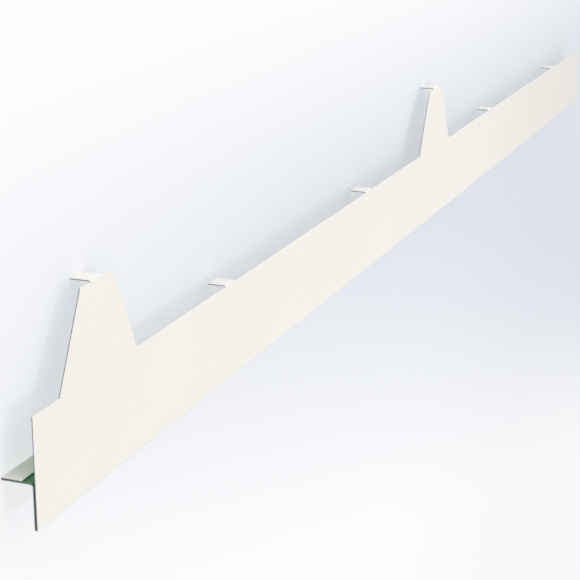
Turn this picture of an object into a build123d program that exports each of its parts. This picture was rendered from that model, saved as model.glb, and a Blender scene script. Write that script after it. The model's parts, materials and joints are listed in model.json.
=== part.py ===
"""Roof edge flashing: one sheet of coil-coated steel, folded on a brake.

A long front panel turns back on itself at the bottom edge, climbs a short way
behind the panel as a leg and bends out into a supporting flange, whose outer
edge is closed with a hem. Tabs stand on the panel's top edge: tall tapered
ones, which close the ends of the roof sheet's ribs, and small ones between
them. Each tab ends in a narrow seat, bent back to lie under the roof sheet.

The section is drawn with u running back from the panel's front face and v up
the panel from its bottom edge. The sheet lies on its back, as it would on a
level floor: on the hem's round edge and on the tips of the tall tabs' seats.
"""

import os
from math import acos, atan2, cos, degrees, hypot, sin

from build123d import *

# The sheet
sheet = 1.0
length = 2085.0
panel_height = 100.0

# The bottom fold, the leg behind the panel and the flange
fold_gap = 1.0
flange_height = 40.5
flange_depth = 32.5
flange_bend = 2.0
hem_gap = 0.5
hem_width = 19.5

# The tall tabs, on the panel's top edge
tall_tab_count = 2
tall_tab_first = 115.0
tall_tab_pitch = 1000.0
tall_tab_base = 141.5
tall_tab_top = 58.0
tall_tab_height = 83.0

# The small tabs, a pair after each tall tab
small_tab_first = 395.0
small_tab_spacing = 433.0
small_pair_pitch = 1023.0

# The seat that ends every tab
seat_width = 22.0
seat_depth = 19.5
seat_bend = 0.8

# Sizes that follow from those above
fold_radius = sheet + fold_gap / 2
hem_radius = sheet + hem_gap / 2
seat_radius = sheet + seat_bend
hem_end = flange_depth - hem_width
hem_top = flange_height + 2 * hem_radius
tall_ledge = panel_height + tall_tab_height
flank_angle = degrees(atan2(tall_tab_height, (tall_tab_base - tall_tab_top) / 2))
tall_tab_places = [tall_tab_first + bay * tall_tab_pitch for bay in range(tall_tab_count)]
small_tab_places = [
    small_tab_first + bay * small_pair_pitch + step * small_tab_spacing
    for bay in range(tall_tab_count)
    for step in range(2)
]

# How the sheet lies: the floor touches the hem's round edge, whose centre is
# at hem_u, hem_v, and the outer corner of the tall tabs' seats
hem_u = flange_depth - hem_radius
hem_v = flange_height + hem_radius
seat_top = tall_ledge + seat_radius
reach_u = seat_depth - hem_u
reach_v = seat_top - hem_v
tilt = atan2(reach_v, reach_u) - acos(hem_radius / hypot(reach_u, reach_v))
back = Vector(0, -sin(tilt), -cos(tilt))

# Where the bottom edge of the front face lies, with the whole centred on the floor
low_edge = fold_radius * (cos(tilt) - sin(tilt) - 1)
high_edge = tall_ledge * cos(tilt) + seat_radius * (1 - sin(tilt))
edge_y = -(low_edge + high_edge) / 2
edge_z = seat_depth * cos(tilt) + seat_top * sin(tilt)


def section_plane(place: float) -> Plane:
    """Return the section's plane at a distance from the near end, facing the far end."""
    return Plane(origin=(place - length / 2, edge_y, edge_z), x_dir=back, z_dir=(1, 0, 0))


def draw_fold_line(depth: float) -> None:
    """Draw the folded section's line at a depth under the coated outer face."""
    front = Line((depth, panel_height), (depth, fold_radius))
    fold = JernArc(front @ 1, front % 1, fold_radius - depth, 180)
    leg = Line(fold @ 1, (2 * fold_radius - depth, flange_height - flange_bend))
    turn = JernArc(leg @ 1, leg % 1, flange_bend + depth, -90)
    flange = Line(turn @ 1, (hem_u, flange_height + depth))
    hem = JernArc(flange @ 1, flange % 1, hem_radius - depth, 180)
    Line(hem @ 1, (hem_end, hem_top - depth))


def draw_seat_line(ledge: float, depth: float) -> None:
    """Draw a seat's line at a depth under its coated face, from the ledge to its tip."""
    bend = JernArc((depth, ledge), (0, 1), seat_radius - depth, -90)
    Line(bend @ 1, (seat_depth, ledge + seat_radius - depth))


front_plane = Plane(origin=(-length / 2, edge_y, edge_z), x_dir=(1, 0, 0), z_dir=-back)

with BuildPart() as edge_flashing:
    # The folded section, between its coated outer face and its reverse
    with BuildSketch(section_plane(0)):
        with BuildLine():
            draw_fold_line(0)
            draw_fold_line(sheet)
            Line((0, panel_height), (sheet, panel_height))
            Line((hem_end, hem_top), (hem_end, hem_top - sheet))
        make_face()
    extrude(amount=length)

    # The tall tabs, in one piece with the panel
    with BuildSketch(front_plane):
        with Locations(*[(place, panel_height) for place in tall_tab_places]):
            Trapezoid(
                tall_tab_base, tall_tab_height, flank_angle, align=(Align.CENTER, Align.MIN)
            )
    extrude(amount=-sheet)

    # The seats, bent back from the tall tabs' tops and from the panel's top edge
    for ledge, places in ((tall_ledge, tall_tab_places), (panel_height, small_tab_places)):
        for place in places:
            with BuildSketch(section_plane(place - seat_width / 2)):
                with BuildLine():
                    draw_seat_line(ledge, 0)
                    draw_seat_line(ledge, sheet)
                    Line((0, ledge), (sheet, ledge))
                    Line((seat_depth, ledge + seat_bend), (seat_depth, ledge + seat_radius))
                make_face()
            extrude(amount=seat_width)

os.makedirs("parts", exist_ok=True)
edge_flashing.part.label = "edge_flashing"
export_step(edge_flashing.part, "parts/edge_flashing.step")
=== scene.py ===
"""Roof edge flashing: one folded, coil-coated steel sheet that lies on its back on a pale floor.

The sheet's section is walked as a brake would fold it, so that every face knows which side of
the sheet it is on: the ivory coat outside, the green backing coat inside, or a cut edge.
"""

from __future__ import annotations

import json
import logging
import math
from abc import ABC, abstractmethod
from collections import Counter
from dataclasses import dataclass, field
from enum import Enum
from functools import cached_property, reduce

import bpy
from mathutils import Matrix, Vector


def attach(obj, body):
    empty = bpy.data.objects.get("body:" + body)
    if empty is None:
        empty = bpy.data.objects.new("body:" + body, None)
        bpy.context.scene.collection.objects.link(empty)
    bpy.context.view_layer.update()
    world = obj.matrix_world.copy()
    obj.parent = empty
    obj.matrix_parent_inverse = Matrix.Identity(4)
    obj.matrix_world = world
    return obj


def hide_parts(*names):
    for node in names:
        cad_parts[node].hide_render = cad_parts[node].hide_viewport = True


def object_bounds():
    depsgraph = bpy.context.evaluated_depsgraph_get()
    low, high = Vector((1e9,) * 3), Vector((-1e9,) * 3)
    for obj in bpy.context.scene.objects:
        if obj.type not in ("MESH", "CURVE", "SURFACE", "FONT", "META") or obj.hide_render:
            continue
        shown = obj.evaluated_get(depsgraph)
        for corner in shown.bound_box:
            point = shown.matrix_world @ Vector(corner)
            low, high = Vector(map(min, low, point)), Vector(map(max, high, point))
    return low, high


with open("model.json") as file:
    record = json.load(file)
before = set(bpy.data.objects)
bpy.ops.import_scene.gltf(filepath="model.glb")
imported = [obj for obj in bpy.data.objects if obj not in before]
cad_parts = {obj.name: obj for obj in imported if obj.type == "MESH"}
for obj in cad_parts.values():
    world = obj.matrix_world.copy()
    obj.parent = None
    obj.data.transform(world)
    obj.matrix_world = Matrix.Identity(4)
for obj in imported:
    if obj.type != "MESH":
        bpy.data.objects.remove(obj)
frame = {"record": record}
CAD_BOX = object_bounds()

LOG = logging.getLogger("roof_edge_flashing")
MM = 0.001
# Points of the skin that are closer than this are one point
WELD = 0.001 * MM

Colour = tuple[float, float, float, float]
Feed = bpy.types.NodeSocket | float | tuple[float, ...]
# The colour, roughness and height that a finish feeds to its shader
Pattern = tuple[bpy.types.NodeSocket, bpy.types.NodeSocket, bpy.types.NodeSocket]


class Surface(Enum):
    """The side of the sheet that a face belongs to, as its material slot."""

    FRONT_COAT = 0
    BACKING_COAT = 1
    CUT_EDGE = 2
    # Long edges and tabs' tops, painted near-white: a painted highlight where they face the light
    SLIT_EDGE = 3


@dataclass(frozen=True)
class SheetSizes:
    """Sizes of the folded sheet in metres."""

    thickness: float = 1.0 * MM
    panel_height: float = 100.0 * MM
    fold_gap: float = 1.0 * MM
    flange_height: float = 40.5 * MM
    flange_depth: float = 32.5 * MM
    flange_bend: float = 2.0 * MM
    hem_gap: float = 0.5 * MM
    hem_width: float = 19.5 * MM
    tall_base: float = 141.5 * MM
    tall_top: float = 58.0 * MM
    tall_height: float = 83.0 * MM
    seat_width: float = 22.0 * MM
    seat_depth: float = 19.5 * MM
    seat_bend: float = 0.8 * MM

    @property
    def seat_radius(self) -> float:
        """Outer radius of the bend that turns a tab into its seat."""
        return self.thickness + self.seat_bend

    @property
    def seat_middle(self) -> float:
        """How far behind the front face the middle of a seat's flat lies."""
        return (self.seat_radius + self.seat_depth) / 2


@dataclass(frozen=True)
class SheetAxes:
    """Where the sheet lies: its near bottom corner and the directions along, back and up."""

    corner: Vector
    along: Vector
    back: Vector
    up: Vector

    @classmethod
    def from_record(cls, sizes: SheetSizes) -> SheetAxes:
        """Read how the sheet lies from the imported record's first tall seat.

        Args:
            sizes: The sheet's sizes, which say where that seat is on the sheet.

        Returns:
            The axes, with the corner at the near end of the CAD box.
        """
        seat = next(m for m in frame["record"]["mounts"] if m["name"].startswith("tall_seat"))
        up = Vector(seat["axis"]).normalized()
        along = Vector((1.0, 0.0, 0.0))
        back = up.cross(along)
        top = sizes.panel_height + sizes.tall_height + sizes.seat_radius
        corner = Vector(seat["pos_m"]) - back * sizes.seat_middle - up * top
        corner.x = CAD_BOX[0].x
        return cls(corner, along, back, up)

    def place(self, x: float, u: float, v: float) -> Vector:
        """Return the point x along the sheet, u behind its front face and v up the panel."""
        return self.corner + self.along * x + self.back * u + self.up * v

    def turn(self, u: float, v: float) -> Vector:
        """Return the direction u back and v up in the row frame."""
        return self.back * u + self.up * v


@dataclass(frozen=True)
class Station:
    """A place on the folded line: where it is, which way its coat faces and how far round."""

    u: float
    v: float
    face_u: float
    face_v: float
    girth: float
    stretch: float


@dataclass
class FoldLine:
    """Walks the outer coat of the sheet through its flats and bends."""

    u: float
    v: float
    heading: float
    metal_on_left: bool = True
    girth: float = 0.0
    stations: list[Station] = field(default_factory=list)

    def __post_init__(self) -> None:
        """Note the line's first station."""
        self._note(0.0)

    @property
    def side(self) -> float:
        """1 where the line runs down the blank, with its metal on the left, and -1 where up."""
        return 1.0 if self.metal_on_left else -1.0

    def _note(self, stretch: float) -> None:
        """Add a station where the line stands.

        Args:
            stretch: 1 in a bend, where the coat is stretched, and 0 on a flat.
        """
        face = (self.side * math.sin(self.heading), -self.side * math.cos(self.heading))
        self.stations.append(Station(self.u, self.v, *face, self.girth, stretch))

    def run(self, distance: float) -> FoldLine:
        """Go straight on.

        Args:
            distance: How far.

        Returns:
            The line.
        """
        self.u += distance * math.cos(self.heading)
        self.v += distance * math.sin(self.heading)
        self.girth += self.side * distance
        self._note(0.0)
        return self

    def bend(self, radius: float, turn: float, steps: int = 10) -> FoldLine:
        """Follow an arc.

        Args:
            radius: The coat's radius in the bend.
            turn: The angle turned in radians, positive to the left.
            steps: Stations along the arc.

        Returns:
            The line.
        """
        side = math.copysign(1.0, turn)
        centre_u = self.u - side * radius * math.sin(self.heading)
        centre_v = self.v + side * radius * math.cos(self.heading)
        start, start_girth = self.heading, self.girth
        for step in range(1, steps + 1):
            self.heading = start + turn * step / steps
            self.u = centre_u + side * radius * math.sin(self.heading)
            self.v = centre_v - side * radius * math.cos(self.heading)
            self.girth = start_girth + self.side * radius * abs(turn) * step / steps
            self._note(1.0 if step < steps else 0.0)
        return self


@dataclass
class BlankMap:
    """Lays the flat blank out in a square, for tools that paint the sheet or bake its finish.

    The long blank is parted near its middle, so that its two coats make four rows. The cut
    edges follow on narrow shelves, widened so that none is thinner than a texture's dot.
    """

    parting: float
    length: float
    highest: float
    lowest: float
    gap: float = 4.0 * MM
    shelf: float = 12.0 * MM
    edge_width: float = 8.0 * MM
    coat_rows: int = 4
    places: list[tuple[float, float]] = field(default_factory=list)
    width: float = field(init=False)
    row: float = field(init=False)
    reach: float = field(init=False)
    level: float = field(init=False)

    def __post_init__(self) -> None:
        """Start the first shelf below the coats' rows."""
        self.width = max(self.parting, self.length - self.parting) + self.gap
        self.row = self.lowest - self.highest + self.gap
        self.reach, self.level = self.gap / 2, self.coat_rows * self.row

    def add_coat(self, corners: list[tuple[float, float]], reverse: bool) -> None:
        """Place a face of a coat.

        Args:
            corners: The corners' distances along and across the blank.
            reverse: Whether the face is on the backing coat.
        """
        beyond = sum(x for x, _ in corners) / len(corners) > self.parting
        start = self.parting if beyond else 0.0
        floor = (2 * reverse + beyond) * self.row - self.highest + self.gap / 2
        self.places += [(x - start + self.gap / 2, girth + floor) for x, girth in corners]

    def add_edge(self, run: float) -> None:
        """Place a cut face beside the last one, or on the next shelf.

        Args:
            run: The face's length.
        """
        if self.reach + run > self.width:
            self.start_shelf()
        near, far = self.reach, self.reach + run
        low, high = self.level, self.level + self.edge_width
        self.places += [(near, low), (far, low), (far, high), (near, high)]
        self.reach = far

    def start_shelf(self) -> None:
        """Go on to a fresh shelf, so that edges of another finish aren't neighbours."""
        self.reach, self.level = self.gap / 2, self.level + self.shelf

    def fitted(self) -> list[float]:
        """Return the places scaled to the square, as one flat list."""
        height = self.level + self.shelf
        return [value for u, v in self.places for value in (u / self.width, v / height)]


@dataclass(frozen=True)
class CoatPoint:
    """A point of the coat: where it lies, which way it faces and its place on the flat blank."""

    place: Vector
    facing: Vector
    x: float
    girth: float
    stretch: float


class Skin:
    """Gathers the coat's faces and closes them into a solid sheet."""

    def __init__(self, axes: SheetAxes, thickness: float) -> None:
        """Start an empty skin.

        Args:
            axes: How the sheet lies.
            thickness: The sheet's thickness.
        """
        self.axes = axes
        self.thickness = thickness
        self.points: list[CoatPoint] = []
        self.found: dict[tuple[int, ...], int] = {}
        self.faces: list[tuple[int, ...]] = []

    def point(self, x: float, station: Station) -> int:
        """Find a point of the coat, or add it.

        Args:
            x: The distance along the sheet.
            station: The station on the folded line.

        Returns:
            The point's number.
        """
        key = tuple(round(value / WELD) for value in (x, station.u, station.v))
        if key not in self.found:
            self.found[key] = len(self.points)
            place = self.axes.place(x, station.u, station.v)
            facing = self.axes.turn(station.face_u, station.face_v)
            self.points.append(CoatPoint(place, facing, x, station.girth, station.stretch))
        return self.found[key]

    def strip(self, stations: list[Station], places: list[float]) -> None:
        """Cover a folded line with faces between places along the sheet.

        Args:
            stations: The line's stations in order.
            places: Distances along the sheet in order.
        """
        for near, far in zip(places, places[1:]):
            for low, high in zip(stations, stations[1:]):
                self.patch([(near, low), (far, low), (far, high), (near, high)])

    def patch(self, corners: list[tuple[float, Station]]) -> None:
        """Add one face of the coat, turned so that it faces outward.

        Args:
            corners: The face's corners, as places along the sheet and stations.
        """
        loop = [self.point(x, station) for x, station in corners]
        places = [self.points[i].place for i in loop]
        facing = sum((self.points[i].facing for i in loop), Vector())
        normal = (places[1] - places[0]).cross(places[2] - places[0])
        self.faces.append(tuple(loop if normal.dot(facing) > 0 else reversed(loop)))

    def cut_kind(self, start: int, end: int) -> Surface:
        """Say how the sheet was cut between two points of its rim.

        The guillotine and the punch leave bare ends and flanks. The long edges and the tabs'
        tops are painted near-white instead: a painted highlight, where these edges face the light.

        Args:
            start: The first point's number.
            end: The other point's number.

        Returns:
            The cut's surface.
        """
        one, other = self.points[start], self.points[end]
        lengthwise = abs(one.x - other.x) > abs(one.girth - other.girth)
        return Surface.SLIT_EDGE if lengthwise else Surface.CUT_EDGE

    def rims(self) -> list[tuple[int, int]]:
        """Find the coat's free edges.

        Returns:
            Each edge's two points, in its face's direction.
        """
        edges = [pair for loop in self.faces for pair in zip(loop, loop[1:] + loop[:1])]
        uses = Counter(frozenset(pair) for pair in edges)
        return [pair for pair in edges if uses[frozenset(pair)] == 1]

    def sorted_rims(self) -> list[tuple[int, int]]:
        """Sort the rims, so that neighbours on the blank are neighbours on its map.

        Returns:
            The bare cuts from end to end, then the painted-highlight ones from edge to edge.
        """

        def order(rim: tuple[int, int]) -> tuple[int, float, float]:
            """Return what a rim is sorted by."""
            kind = self.cut_kind(*rim)
            x = sum(self.points[i].x for i in rim)
            girth = sum(self.points[i].girth for i in rim)
            return (kind.value, x, girth) if kind is Surface.CUT_EDGE else (kind.value, girth, x)

        return sorted(self.rims(), key=order)

    def build(self, name: str, parting: float) -> bpy.types.Object:
        """Make the closed sheet: the coat, the backing a thickness behind it and the cut edges.

        Args:
            name: The object's name.
            parting: Where along the blank its texture map is parted.

        Returns:
            The object, in the scene's collection.
        """
        count = len(self.points)
        outer = [point.place for point in self.points]
        inner = [point.place - point.facing * self.thickness for point in self.points]
        backing = [tuple(i + count for i in reversed(loop)) for loop in self.faces]
        rims = self.sorted_rims()
        cuts = [(b, a, a + count, b + count) for a, b in rims]
        mesh = bpy.data.meshes.new(name)
        mesh.from_pydata(outer + inner, [], self.faces + backing + cuts)
        kinds = (
            [Surface.FRONT_COAT] * len(self.faces)
            + [Surface.BACKING_COAT] * len(backing)
            + [self.cut_kind(*rim) for rim in rims]
        )
        mesh.polygons.foreach_set("material_index", [kind.value for kind in kinds])
        mesh.polygons.foreach_set("use_smooth", [True] * len(kinds))
        self._note_blank(mesh)
        self._turn_normals(mesh)
        self._lay_map(mesh, rims, parting)
        piece = bpy.data.objects.new(name, mesh)
        bpy.context.scene.collection.objects.link(piece)
        return piece

    def _note_blank(self, mesh: bpy.types.Mesh) -> None:
        """Write each point's stretch and its place on the flat blank, for the finishes.

        Args:
            mesh: The sheet's mesh, with the coat's points before the backing's.
        """
        stretch = mesh.attributes.new("fold_stretch", "FLOAT", "POINT")
        stretch.data.foreach_set("value", [point.stretch for point in self.points] * 2)
        places = [
            value
            for depth in (0.0, self.thickness)
            for point in self.points
            for value in (point.x, point.girth, depth)
        ]
        blank = mesh.attributes.new("blank_place", "FLOAT_VECTOR", "POINT")
        blank.data.foreach_set("vector", places)

    def _turn_normals(self, mesh: bpy.types.Mesh) -> None:
        """Give each coat its true normals, so that flats stay flat and bends stay round.

        Args:
            mesh: The sheet's mesh, with its surfaces as material numbers.
        """
        count = len(self.points)
        normals = []
        for polygon in mesh.polygons:
            for index in polygon.loop_indices:
                facing = self.points[mesh.loops[index].vertex_index % count].facing
                if polygon.material_index >= Surface.CUT_EDGE.value:
                    facing = polygon.normal
                elif polygon.material_index == Surface.BACKING_COAT.value:
                    facing = -facing
                normals.append(facing)
        mesh.normals_split_custom_set(normals)

    def _lay_map(self, mesh: bpy.types.Mesh, rims: list[tuple[int, int]], parting: float) -> None:
        """Give the mesh its texture map.

        Args:
            mesh: The sheet's mesh, with the coats' faces before the cut ones.
            rims: The rims of the cut faces, in the mesh's order.
            parting: Where along the blank the map is parted.
        """
        flat = [(point.x, point.girth) for point in self.points]
        girths = [girth for _, girth in flat]
        blank = BlankMap(parting, max(x for x, _ in flat), min(girths), max(girths))
        for loop in self.faces:
            blank.add_coat([flat[i] for i in loop], False)
        for loop in self.faces:
            blank.add_coat([flat[i] for i in reversed(loop)], True)
        last = Surface.CUT_EDGE
        for start, end in rims:
            kind = self.cut_kind(start, end)
            if kind is not last:
                blank.start_shelf()
            last = kind
            blank.add_edge((self.points[start].place - self.points[end].place).length)
        layer = mesh.uv_layers.new(name="OFBake")
        layer.data.foreach_set("uv", blank.fitted())


@dataclass
class FlashingSheet:
    """The whole flashing: the folded section, the tabs on its top edge and their seats."""

    axes: SheetAxes
    length: float
    tall_places: list[float]
    small_places: list[float]
    sizes: SheetSizes = field(default_factory=SheetSizes)
    fold_steps: int = 16
    hem_steps: int = 12

    @classmethod
    def from_frame(cls) -> FlashingSheet:
        """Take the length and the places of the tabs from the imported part.

        Returns:
            The flashing, ready to build.
        """
        sizes = SheetSizes()
        axes = SheetAxes.from_record(sizes)
        mounts = frame["record"]["mounts"]
        tall, small = (
            sorted(m["pos_m"][0] - CAD_BOX[0].x for m in mounts if m["name"].startswith(kind))
            for kind in ("tall_seat", "small_seat")
        )
        return cls(axes, CAD_BOX[1].x - CAD_BOX[0].x, tall, small, sizes)

    def section(self) -> list[Station]:
        """Walk the folded section.

        Returns:
            Its stations, from the panel's top edge round to the hem's end.
        """
        s = self.sizes
        fold = s.thickness + s.fold_gap / 2
        hem = s.thickness + s.hem_gap / 2
        line = FoldLine(0.0, s.panel_height, -math.pi / 2)
        line.run(s.panel_height - fold).bend(fold, math.pi, self.fold_steps)
        line.run(s.flange_height - s.flange_bend - fold).bend(s.flange_bend, -math.pi / 2)
        line.run(s.flange_depth - hem - 2 * fold - s.flange_bend)
        line.bend(hem, math.pi, self.hem_steps)
        return line.run(s.hem_width - hem).stations

    def seat(self, ledge: float) -> list[Station]:
        """Return a seat's stations.

        Args:
            ledge: The height on the sheet at which the bend starts.

        Returns:
            The stations, from the ledge to the seat's tip.
        """
        s = self.sizes
        line = FoldLine(0.0, ledge, math.pi / 2, False, s.panel_height - ledge)
        return line.bend(s.seat_radius, -math.pi / 2).run(s.seat_depth - s.seat_radius).stations

    def cuts_along(self) -> list[float]:
        """Find the places where the section has to be divided.

        Returns:
            Every place along the sheet where an outline has a corner, in order.
        """
        s = self.sizes
        halves = [(place, s.seat_width / 2) for place in self.tall_places + self.small_places]
        halves += [(place, s.tall_base / 2) for place in self.tall_places]
        corners = [place + sign * half for place, half in halves for sign in (-1, 1)]
        return sorted([0.0, self.length, *corners])

    def add_tall_tab(self, skin: Skin, foot: Station, place: float) -> None:
        """Add a tall tab's flat, in three faces so that its seat shares the middle one's edge.

        Args:
            skin: The skin that takes the faces.
            foot: The station at the panel's top edge.
            place: The tab's middle along the sheet.
        """
        s = self.sizes
        ledge = self.seat(s.panel_height + s.tall_height)[0]
        feet = (-s.tall_base / 2, -s.seat_width / 2, s.seat_width / 2, s.tall_base / 2)
        tops = (-s.tall_top / 2, -s.seat_width / 2, s.seat_width / 2, s.tall_top / 2)
        for i in range(3):
            skin.patch(
                [
                    (place + feet[i], foot),
                    (place + feet[i + 1], foot),
                    (place + tops[i + 1], ledge),
                    (place + tops[i], ledge),
                ]
            )

    def build(self) -> bpy.types.Object:
        """Build the sheet as one closed piece.

        Returns:
            The piece, in the scene's collection.
        """
        s = self.sizes
        skin = Skin(self.axes, s.thickness)
        section = self.section()
        skin.strip(section, self.cuts_along())
        for place in self.tall_places:
            self.add_tall_tab(skin, section[0], place)
        for ledge, places in (
            (s.panel_height + s.tall_height, self.tall_places),
            (s.panel_height, self.small_places),
        ):
            for place in places:
                edges = [place - s.seat_width / 2, place + s.seat_width / 2]
                skin.strip(self.seat(ledge), edges)
        parting = min(self.cuts_along(), key=lambda place: abs(place - self.length / 2))
        return skin.build("flashing_sheet", parting)


def srgb(red: int, green: int, blue: int) -> Colour:
    """Turn a colour as a screen shows it into linear light.

    Args:
        red: The red channel, 0 to 255.
        green: The green channel, 0 to 255.
        blue: The blue channel, 0 to 255.

    Returns:
        The colour in linear light, with full alpha.
    """

    def linear(step: int) -> float:
        """Return one channel by the sRGB curve: a straight foot and a power above it."""
        share = step / 255
        return share / 12.92 if share <= 0.04045 else ((share + 0.055) / 1.055) ** 2.4

    return (linear(red), linear(green), linear(blue), 1.0)


class Graph:
    """Adds nodes to a tree and feeds their sockets."""

    def __init__(self, tree: bpy.types.NodeTree) -> None:
        """Take the tree that gets the nodes."""
        self.tree = tree

    def feed(self, node: bpy.types.Node, feeds: dict[str | int, Feed]) -> None:
        """Feed a node's inputs.

        Args:
            node: The node.
            feeds: What each input gets: another node's socket or a plain value.
        """
        for key, value in feeds.items():
            if isinstance(value, bpy.types.NodeSocket):
                self.tree.links.new(value, node.inputs[key])
            else:
                node.inputs[key].default_value = value

    def add(
        self, kind: str, feeds: dict[str | int, Feed], **options: str | bpy.types.NodeTree
    ) -> bpy.types.Node:
        """Add a node.

        Args:
            kind: The node's type.
            feeds: What each of its inputs gets: another node's socket or a plain value.
            options: The node's own options.

        Returns:
            The node.
        """
        node = self.tree.nodes.new(kind)
        for name, option in options.items():
            setattr(node, name, option)
        self.feed(node, feeds)
        return node

    def effect(self, tree: bpy.types.NodeTree, feeds: dict[str, Feed]) -> bpy.types.NodeOutputs:
        """Place a shared effect with a finish's own values and return its outputs."""
        return self.add("ShaderNodeGroup", feeds, node_tree=tree).outputs

    def math(self, operation: str, *values: Feed) -> bpy.types.NodeSocket:
        """Add a maths node and return its result."""
        return self.add("ShaderNodeMath", dict(enumerate(values)), operation=operation).outputs[0]

    def ramp(
        self,
        value: Feed,
        rise: tuple[float, float],
        result: tuple[float, float] = (0.0, 1.0),
        shape: str = "LINEAR",
    ) -> bpy.types.NodeSocket:
        """Add a range node, held at its ends.

        Args:
            value: The value to carry over.
            rise: The values that give the result's two ends.
            result: The result's two ends.
            shape: The way from end to end, straight or smoothed.

        Returns:
            The result.
        """
        feeds = dict(enumerate((value, *rise, *result)))
        node = self.add("ShaderNodeMapRange", feeds, interpolation_type=shape)
        return node.outputs["Result"]

    def noise(self, place: Feed, scale: Feed, detail: float) -> bpy.types.NodeSocket:
        """Add a noise and return its value, which keeps near a half."""
        feeds = {"Vector": place, "Scale": scale, "Detail": detail}
        return self.add("ShaderNodeTexNoise", feeds).outputs[0]

    def blend(self, share: Feed, base: Feed, other: Feed) -> bpy.types.NodeSocket:
        """Mix two colours and return the result."""
        feeds = {"Factor": share, 6: base, 7: other}
        return self.add("ShaderNodeMix", feeds, data_type="RGBA").outputs[2]

    def blank_place(self) -> bpy.types.NodeSocket:
        """Return the place on the flat blank: along it, across it and through its thickness."""
        return self.add("ShaderNodeAttribute", {}, attribute_name="blank_place").outputs["Vector"]

    def stretched(self, place: Feed, scales: tuple[float, float, float]) -> bpy.types.NodeSocket:
        """Return a place scaled along, across and through the blank, for marks that run one way."""
        feeds = {0: place, 1: scales}
        return self.add("ShaderNodeVectorMath", feeds, operation="MULTIPLY").outputs[0]


@dataclass(frozen=True)
class Marks:
    """How fine and how strong the marks are that the making of the sheet leaves on it.

    Scales are per metre of the flat blank; three of them are along, across and through it. A
    rise says between which values of a noise, or shares of the thickness, a mask goes from
    0 to 1.
    """

    noise_rise: tuple[float, float] = (0.3, 0.7)
    drift_scale: float = 6.0
    pigment_scale: float = 1400.0
    pigment_share: float = 0.3
    hues: tuple[float, float] = (0.498, 0.502)
    gloss_scale: float = 35.0
    tone_lines: tuple[float, float, float] = (4.0, 900.0, 900.0)
    relief_lines: tuple[float, float, float] = (6.0, 1100.0, 1100.0)
    waves: tuple[float, float, float] = (3.5, 9.0, 9.0)
    crack_run: tuple[float, float, float] = (0.08, 1.0, 1.0)
    crack_rise: tuple[float, float] = (0.56, 0.66)
    thin_scale: float = 90.0
    thin_rise: tuple[float, float] = (0.35, 0.7)
    thin_shares: tuple[float, float] = (0.4, 1.0)
    ragged_scale: float = 420.0
    ragged_depths: tuple[float, float] = (-0.07, 0.07)
    blade_run: tuple[float, float, float] = (1.0, 1.0, 0.06)
    blade_scale: float = 5200.0
    blade_tones: tuple[float, float] = (0.86, 1.14)
    grain_scale: float = 3800.0
    grain_share: float = 0.4
    break_rise: tuple[float, float] = (0.3, 0.38)
    front_rise: tuple[float, float] = (0.07, 0.03)
    back_rise: tuple[float, float] = (0.94, 0.98)
    cut_roughness: tuple[float, float] = (0.32, 0.62)


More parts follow.
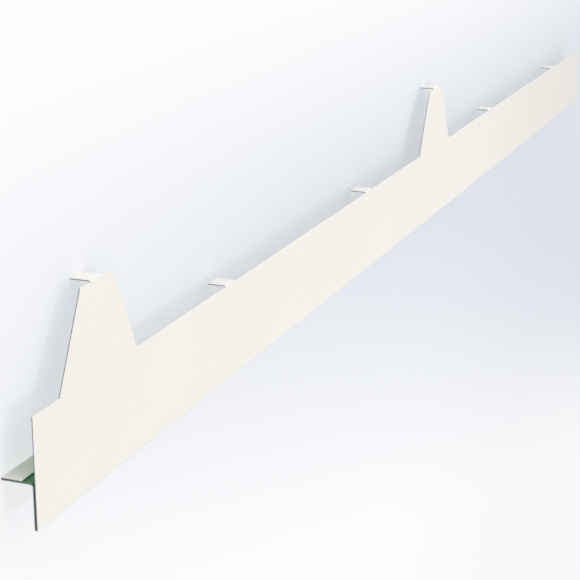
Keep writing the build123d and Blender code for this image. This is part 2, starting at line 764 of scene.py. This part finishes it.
@dataclass(frozen=True)
class SheetEffects:
    """What the paint line, the brake and the blade leave on the sheet, as node groups."""

    marks: Marks = field(default_factory=Marks)

    @cached_property
    def tone(self) -> bpy.types.NodeTree:
        """Slow drift of the film's colour and gloss, with the applicator roll's faint lines."""
        graph, entry, leave = self._group(
            "film_tone",
            {
                "Colour": "Color",
                "Drift": "Float",
                "Lines": "Float",
                "Roughness": "Float",
                "Gloss Drift": "Float",
            },
            {"Colour": "Color", "Roughness": "Float"},
        )
        marks, place = self.marks, graph.blank_place()
        slow = graph.noise(place, marks.drift_scale, 3.0)
        pigment = graph.noise(place, marks.pigment_scale, 1.0)
        lines = graph.noise(graph.stretched(place, marks.tone_lines), 1.0, 2.0)
        soft = graph.math(
            "ADD",
            graph.math("MULTIPLY", slow, 1.0 - marks.pigment_share),
            graph.math("MULTIPLY", pigment, marks.pigment_share),
        )
        drift = graph.math("MULTIPLY", graph.math("SUBTRACT", soft, 0.5), entry["Drift"])
        streak = graph.math("MULTIPLY", graph.math("SUBTRACT", lines, 0.5), entry["Lines"])
        value = graph.math("ADD", graph.math("ADD", drift, streak), 1.0)
        hue = graph.ramp(slow, marks.noise_rise, marks.hues)
        feeds = {"Hue": hue, "Value": value, "Color": entry["Colour"]}
        colour = graph.add("ShaderNodeHueSaturation", feeds).outputs[0]
        patches = graph.math("SUBTRACT", graph.noise(place, marks.gloss_scale, 3.0), 0.5)
        gloss = graph.math("ADD", graph.math("MULTIPLY", patches, entry["Gloss Drift"]), streak)
        rough = graph.math("ADD", entry["Roughness"], gloss)
        graph.feed(leave, {"Colour": colour, "Roughness": rough})
        return graph.tree

    @cached_property
    def relief(self) -> bpy.types.NodeTree:
        """Orange peel, roll lines and the sheet's own slight waviness, as one height."""
        graph, entry, leave = self._group(
            "film_relief",
            {"Peel Scale": "Float", "Lines": "Float", "Waviness": "Float"},
            {"Height": "Float"},
        )
        place = graph.blank_place()
        peel = graph.noise(place, entry["Peel Scale"], 2.0)
        lines = graph.noise(graph.stretched(place, self.marks.relief_lines), 1.0, 3.0)
        waves = graph.noise(graph.stretched(place, self.marks.waves), 1.0, 0.0)
        height = graph.math("ADD", peel, graph.math("MULTIPLY", lines, entry["Lines"]))
        waves = graph.math("MULTIPLY", waves, entry["Waviness"])
        graph.feed(leave, {"Height": graph.math("ADD", height, waves)})
        return graph.tree

    @cached_property
    def stretch(self) -> bpy.types.NodeTree:
        """Where a bend has drawn the film thin, broken up into hair cracks along the fold."""
        graph, entry, leave = self._group(
            "film_stretch", {"Crack Scale": "Float"}, {"Thin": "Float", "Cracks": "Float"}
        )
        marks, place = self.marks, graph.blank_place()
        bend = graph.add("ShaderNodeAttribute", {}, attribute_name="fold_stretch").outputs["Fac"]
        along_fold = graph.stretched(place, marks.crack_run)
        crack = graph.ramp(graph.noise(along_fold, entry["Crack Scale"], 3.0), marks.crack_rise)
        patch = graph.noise(place, marks.thin_scale, 2.0)
        thin = graph.math("MULTIPLY", bend, graph.ramp(patch, marks.thin_rise, marks.thin_shares))
        graph.feed(leave, {"Thin": thin, "Cracks": graph.math("MULTIPLY", thin, crack)})
        return graph.tree

    @cached_property
    def cut(self) -> bpy.types.NodeTree:
        """The band that a blade presses smooth, the broken rest and the film drawn over it."""
        graph, entry, leave = self._group(
            "cut_face",
            {"Thickness": "Float"},
            {
                "Broken": "Float",
                "Tone": "Float",
                "Front Film": "Float",
                "Back Film": "Float",
                "Roughness": "Float",
                "Height": "Float",
            },
        )
        marks, place = self.marks, graph.blank_place()
        split = graph.add("ShaderNodeSeparateXYZ", {0: place})
        depth = graph.math("DIVIDE", split.outputs[2], entry["Thickness"])
        ragged = graph.noise(place, marks.ragged_scale, 3.0)
        depth = graph.math("ADD", depth, graph.ramp(ragged, marks.noise_rise, marks.ragged_depths))
        lines = graph.noise(graph.stretched(place, marks.blade_run), marks.blade_scale, 2.0)
        grains = graph.noise(place, marks.grain_scale, 3.0)
        broken = graph.ramp(depth, marks.break_rise)
        coarse = graph.math("ADD", broken, graph.math("MULTIPLY", grains, marks.grain_share))
        feeds = {
            "Broken": broken,
            "Tone": graph.ramp(lines, marks.noise_rise, marks.blade_tones),
            "Front Film": graph.ramp(depth, marks.front_rise),
            "Back Film": graph.ramp(depth, marks.back_rise),
            "Roughness": graph.ramp(coarse, (0.0, 1.0 + marks.grain_share), marks.cut_roughness),
            "Height": graph.math("ADD", lines, graph.math("MULTIPLY", grains, broken)),
        }
        graph.feed(leave, feeds)
        return graph.tree

    @staticmethod
    def _group(
        name: str, inputs: dict[str, str], outputs: dict[str, str]
    ) -> tuple[Graph, bpy.types.NodeOutputs, bpy.types.Node]:
        """Start a node group.

        Args:
            name: The group's name.
            inputs: The kind of each input socket, by name.
            outputs: The kind of each output socket, by name.

        Returns:
            The group's graph, its inputs by name and the node that takes its outputs.
        """
        tree = bpy.data.node_groups.new(name, "ShaderNodeTree")
        for in_out, sockets in (("INPUT", inputs), ("OUTPUT", outputs)):
            for socket, kind in sockets.items():
                tree.interface.new_socket(socket, in_out=in_out, socket_type=f"NodeSocket{kind}")
        graph = Graph(tree)
        entry = graph.add("NodeGroupInput", {}).outputs
        return graph, entry, graph.add("NodeGroupOutput", {})


@dataclass(frozen=True, kw_only=True)
class Finish(ABC):
    """How one of the sheet's surfaces looks."""

    name: str
    relief_depth: float
    metallic: float = 0.0

    @abstractmethod
    def pattern(self, graph: Graph, effects: SheetEffects) -> Pattern:
        """Add the finish's pattern.

        Args:
            graph: The material's graph.
            effects: The effects that the finishes share.

        Returns:
            The pattern's colour, roughness and height.
        """

    def material(self, effects: SheetEffects) -> bpy.types.Material:
        """Make the finish's material.

        Args:
            effects: The effects that the finishes share.

        Returns:
            The material.
        """
        material = bpy.data.materials.new(self.name)
        material.use_nodes = True
        graph = Graph(material.node_tree)
        colour, rough, height = self.pattern(graph, effects)
        feeds = {"Height": height, "Strength": 1.0, "Distance": self.relief_depth}
        bump = graph.add("ShaderNodeBump", feeds).outputs[0]
        shader = material.node_tree.nodes["Principled BSDF"]
        feeds = {"Base Color": colour, "Roughness": rough, "Normal": bump}
        graph.feed(shader, {**feeds, "Metallic": self.metallic})
        return material


@dataclass(frozen=True, kw_only=True)
class CoilCoat(Finish):
    """A paint film baked on one side of the sheet."""

    colour: Colour
    stretched_colour: Colour
    roughness: float
    drift: float
    lines: float
    peel_scale: float
    gloss_drift: float = 0.12
    line_height: float = 0.35
    waviness: float = 9.0
    crack_scale: float = 5200.0
    crack_height: float = -0.8
    thinned_colour: float = 0.35
    thinned_roughness: float = 0.08

    def pattern(self, graph: Graph, effects: SheetEffects) -> Pattern:
        """Add the film's tone and relief, and what a bend does to them.

        Args:
            graph: The material's graph.
            effects: The effects that the finishes share.

        Returns:
            The pattern's colour, roughness and height.
        """
        feeds = {
            "Colour": self.colour,
            "Drift": self.drift,
            "Lines": self.lines,
            "Roughness": self.roughness,
            "Gloss Drift": self.gloss_drift,
        }
        tone = graph.effect(effects.tone, feeds)
        feeds = {
            "Peel Scale": self.peel_scale,
            "Lines": self.line_height,
            "Waviness": self.waviness,
        }
        relief = graph.effect(effects.relief, feeds)
        bend = graph.effect(effects.stretch, {"Crack Scale": self.crack_scale})
        thin = graph.math("MULTIPLY", bend["Thin"], self.thinned_colour)
        colour = graph.blend(thin, tone["Colour"], self.stretched_colour)
        dull = graph.math("MULTIPLY", bend["Thin"], self.thinned_roughness)
        cracks = graph.math("MULTIPLY", bend["Cracks"], self.crack_height)
        rough = graph.math("ADD", tone["Roughness"], dull)
        return colour, rough, graph.math("ADD", relief["Height"], cracks)


@dataclass(frozen=True, kw_only=True)
class ShearedEdge(Finish):
    """The edge of zinc-coated steel where a blade cut the sheet.

    The blade first presses a smooth band into the edge, and the rest of the thickness breaks
    off rougher and darker. A hair of each coat is drawn over its own side.
    """

    relief_depth: float = 0.03 * MM
    smooth: Colour
    broken: Colour
    front_film: Colour = srgb(226, 223, 214)
    back_film: Colour = srgb(84, 118, 92)
    thickness: float = SheetSizes.thickness

    def pattern(self, graph: Graph, effects: SheetEffects) -> Pattern:
        """Add the cut's bands, in this edge's colours.

        Args:
            graph: The material's graph.
            effects: The effects that the finishes share.

        Returns:
            The pattern's colour, roughness and height.
        """
        cut = graph.effect(effects.cut, {"Thickness": self.thickness})
        colour = graph.blend(cut["Broken"], self.smooth, self.broken)
        feeds = {"Value": cut["Tone"], "Color": colour}
        colour = graph.add("ShaderNodeHueSaturation", feeds).outputs[0]
        colour = graph.blend(cut["Front Film"], colour, self.front_film)
        colour = graph.blend(cut["Back Film"], colour, self.back_film)
        return colour, cut["Roughness"], cut["Height"]


FINISHES: dict[Surface, Finish] = {
    Surface.FRONT_COAT: CoilCoat(
        name="ivory_front_coat",
        colour=srgb(242, 237, 228),
        stretched_colour=srgb(248, 246, 240),
        roughness=0.42,
        drift=0.05,
        lines=0.022,
        peel_scale=480.0,
        relief_depth=0.16 * MM,
    ),
    Surface.BACKING_COAT: CoilCoat(
        name="green_backing_coat",
        colour=srgb(58, 124, 74),
        stretched_colour=srgb(96, 148, 108),
        roughness=0.5,
        drift=0.22,
        lines=0.14,
        peel_scale=640.0,
        relief_depth=0.13 * MM,
    ),
    Surface.CUT_EDGE: ShearedEdge(
        name="guillotined_steel",
        smooth=srgb(188, 191, 191),
        broken=srgb(146, 149, 149),
        metallic=0.85,
    ),
    # Painted highlight: the long edges and the tabs' tops are near-white, as where they face the
    # light
    Surface.SLIT_EDGE: ShearedEdge(
        name="filmed_slit_edge",
        smooth=srgb(246, 247, 243),
        broken=srgb(232, 233, 229),
    ),
}


@dataclass(frozen=True)
class Viewpoint:
    """Where the photograph was taken from, in the sheet's own directions.

    Distances are from the near end's bottom corner; angles are in degrees.
    """

    before_end: float = 1.0574
    in_front: float = 0.6365
    above: float = 0.5764
    heading: float = 21.47
    dip: float = 16.93
    lens: float = 101.5
    sensor: float = 36.0

    def place_camera(self, axes: SheetAxes) -> None:
        """Make the scene's camera.

        Args:
            axes: How the sheet lies.
        """
        heading, dip = math.radians(self.heading), math.radians(self.dip)
        ahead = (
            axes.along * (math.cos(heading) * math.cos(dip))
            + axes.back * (math.sin(heading) * math.cos(dip))
            - axes.up * math.sin(dip)
        )
        right = ahead.cross(axes.up).normalized()
        data = bpy.data.cameras.new("camera")
        data.lens, data.sensor_width = self.lens, self.sensor
        camera = bpy.data.objects.new("camera", data)
        turned = Matrix((right, right.cross(ahead), -ahead)).transposed().to_4x4()
        spot = axes.place(-self.before_end, -self.in_front, self.above)
        camera.matrix_world = Matrix.Translation(spot) @ turned
        bpy.context.scene.collection.objects.link(camera)
        bpy.context.scene.camera = camera


@dataclass(frozen=True)
class SoftSun:
    """A broad, distant lamp."""

    name: str
    strength: float
    colour: tuple[float, float, float]
    comes_from: tuple[float, float, float]
    spread: float

    def hang(self) -> None:
        """Put the lamp in the scene."""
        lamp = bpy.data.lights.new(self.name, "SUN")
        lamp.energy, lamp.angle = self.strength, math.radians(self.spread)
        lamp.color = self.colour
        holder = bpy.data.objects.new(self.name, lamp)
        holder.rotation_euler = Vector(self.comes_from).to_track_quat("Z", "Y").to_euler()
        bpy.context.scene.collection.objects.link(holder)


@dataclass(frozen=True)
class BandSide:
    """One side of the floor's band of painted shade: where it starts along a direction, and how it
    rises.
    """

    direction: tuple[float, float, float]
    start: float
    width: float


@dataclass(frozen=True)
class Studio:
    """A plain pale floor under soft, even light, with painted shade in a broad band round the
    sheet.

    The band of painted shade, darker and bluer than the paper, is the product of its sides, which
    are smooth ramps over the floor. The pool is the light of an overhead lamp, whose edge ends
    short of the sheet's far end.
    """

    paper: Colour = srgb(253, 253, 254)
    # Painted shade: the darker, bluer tone of the band round the sheet
    painted_shade_tone: Colour = srgb(226, 230, 238)
    band: tuple[BandSide, ...] = (
        BandSide((0.309, 0.951, 0.0), -0.60, 0.60),
        BandSide((0.0, -1.0, 0.0), -0.32, 0.42),
        BandSide((-1.0, 0.0, 0.0), -3.2, 1.4),
    )
    floor_size: float = 60.0
    floor_roughness: float = 0.9
    floor_specular: float = 0.1
    own_shadow: float = 0.25
    sky: float = 0.68
    sky_colour: Colour = (0.965, 1.0, 1.02, 1.0)
    backdrop: float = 0.96
    suns: tuple[SoftSun, ...] = (
        SoftSun("key", 0.55, (1.08, 1.0, 0.95), (-0.10, 0.66, 0.74), 40.0),
        SoftSun("low_fill", 0.6, (0.94, 1.02, 0.99), (-0.30, 0.94, 0.17), 24.0),
    )
    pool_power: float = 680.0
    pool_height: float = 10.0
    pool_middle: float = -2.6
    pool_edge: float = 0.72
    pool_lamp_size: float = 0.5
    pool_blend: float = 0.04

    def build(self) -> None:
        """Lay the floor and hang the lights."""
        bpy.context.scene.view_settings.view_transform = "Standard"
        self._lay_floor()
        self._light_world()
        for sun in self.suns:
            sun.hang()
        self._hang_pool()

    def _hang_pool(self) -> None:
        """Hang the overhead lamp."""
        lamp = bpy.data.lights.new("overhead", "SPOT")
        lamp.energy, lamp.spot_blend = self.pool_power, self.pool_blend
        lamp.shadow_soft_size = self.pool_lamp_size
        lamp.spot_size = 2 * math.atan2(self.pool_edge - self.pool_middle, self.pool_height)
        overhead = bpy.data.objects.new("overhead", lamp)
        overhead.location = (self.pool_middle, 0.0, self.pool_height)
        bpy.context.scene.collection.objects.link(overhead)

    def _lay_floor(self) -> None:
        """Make the floor, which shows its own pale tone and keeps part of the sheet's shadow."""
        bpy.ops.mesh.primitive_plane_add(size=self.floor_size)
        floor = bpy.context.object
        floor.name = "floor"
        material = bpy.data.materials.new("floor_paper")
        material.use_nodes = True
        graph = Graph(material.node_tree)
        tone = self._floor_tone(graph)
        shader = material.node_tree.nodes["Principled BSDF"]
        feeds = {"Roughness": self.floor_roughness, "Specular IOR Level": self.floor_specular}
        graph.feed(shader, {**feeds, "Base Color": tone})
        glow = graph.add("ShaderNodeEmission", {"Color": tone, "Strength": 1.0})
        share = graph.math("MULTIPLY", self._seen(graph), 1.0 - self.own_shadow)
        feeds = {0: share, 1: shader.outputs[0], 2: glow.outputs[0]}
        mixed = graph.add("ShaderNodeMixShader", feeds).outputs[0]
        graph.feed(material.node_tree.nodes["Material Output"], {"Surface": mixed})
        floor.data.materials.append(material)

    def _floor_tone(self, graph: Graph) -> bpy.types.NodeSocket:
        """Add the floor's colour.

        Args:
            graph: The floor's graph.

        Returns:
            The paper's tone, with painted shade: darker and bluer in the band.
        """
        place = graph.add("ShaderNodeTexCoord", {}).outputs["Object"]
        sides = []
        for side in self.band:
            feeds = {0: place, 1: side.direction}
            reach = graph.add("ShaderNodeVectorMath", feeds, operation="DOT_PRODUCT")
            rise = (side.start, side.start + side.width)
            sides.append(graph.ramp(reach.outputs["Value"], rise, shape="SMOOTHSTEP"))
        share = reduce(lambda one, other: graph.math("MULTIPLY", one, other), sides)
        # Painted shade: the paper turns darker and bluer in the band
        return graph.blend(share, self.paper, self.painted_shade_tone)

    @staticmethod
    def _seen(graph: Graph) -> bpy.types.NodeSocket:
        """Tell the rays that see a thing from those that light it.

        Args:
            graph: The graph that gets the nodes.

        Returns:
            1 for rays that see straight, in a reflection or through glass, and 0 for others.
        """
        path = graph.add("ShaderNodeLightPath", {}).outputs
        total = graph.math("ADD", path["Is Camera Ray"], path["Is Glossy Ray"])
        total = graph.math("ADD", total, path["Is Transmission Ray"])
        return graph.math("MINIMUM", total, 1.0)

    def _light_world(self) -> None:
        """Light evenly from all round, and show a pale backdrop above the floor."""
        world = bpy.data.worlds.new("studio")
        bpy.context.scene.world = world
        world.use_nodes = True
        graph = Graph(world.node_tree)
        sky = world.node_tree.nodes["Background"]
        graph.feed(sky, {"Color": self.sky_colour, "Strength": self.sky})
        feeds = {"Color": self.paper, "Strength": self.backdrop}
        backdrop = graph.add("ShaderNodeBackground", feeds)
        feeds = {0: self._seen(graph), 1: sky.outputs[0], 2: backdrop.outputs[0]}
        mixed = graph.add("ShaderNodeMixShader", feeds).outputs[0]
        graph.feed(world.node_tree.nodes["World Output"], {"Surface": mixed})


def main() -> None:
    """Build the flashing, dress it, and set the studio and the camera round it."""
    logging.basicConfig(level=logging.INFO, format="%(name)s: %(message)s")
    flashing = FlashingSheet.from_frame()
    sheet = flashing.build()
    effects = SheetEffects()
    for surface in Surface:
        sheet.data.materials.append(FINISHES[surface].material(effects))
    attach(sheet, "root")
    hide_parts("edge_flashing")
    LOG.info("%s has %d faces", sheet.name, len(sheet.data.polygons))
    Studio().build()
    Viewpoint().place_camera(flashing.axes)


if __name__ == "__main__":
    main()
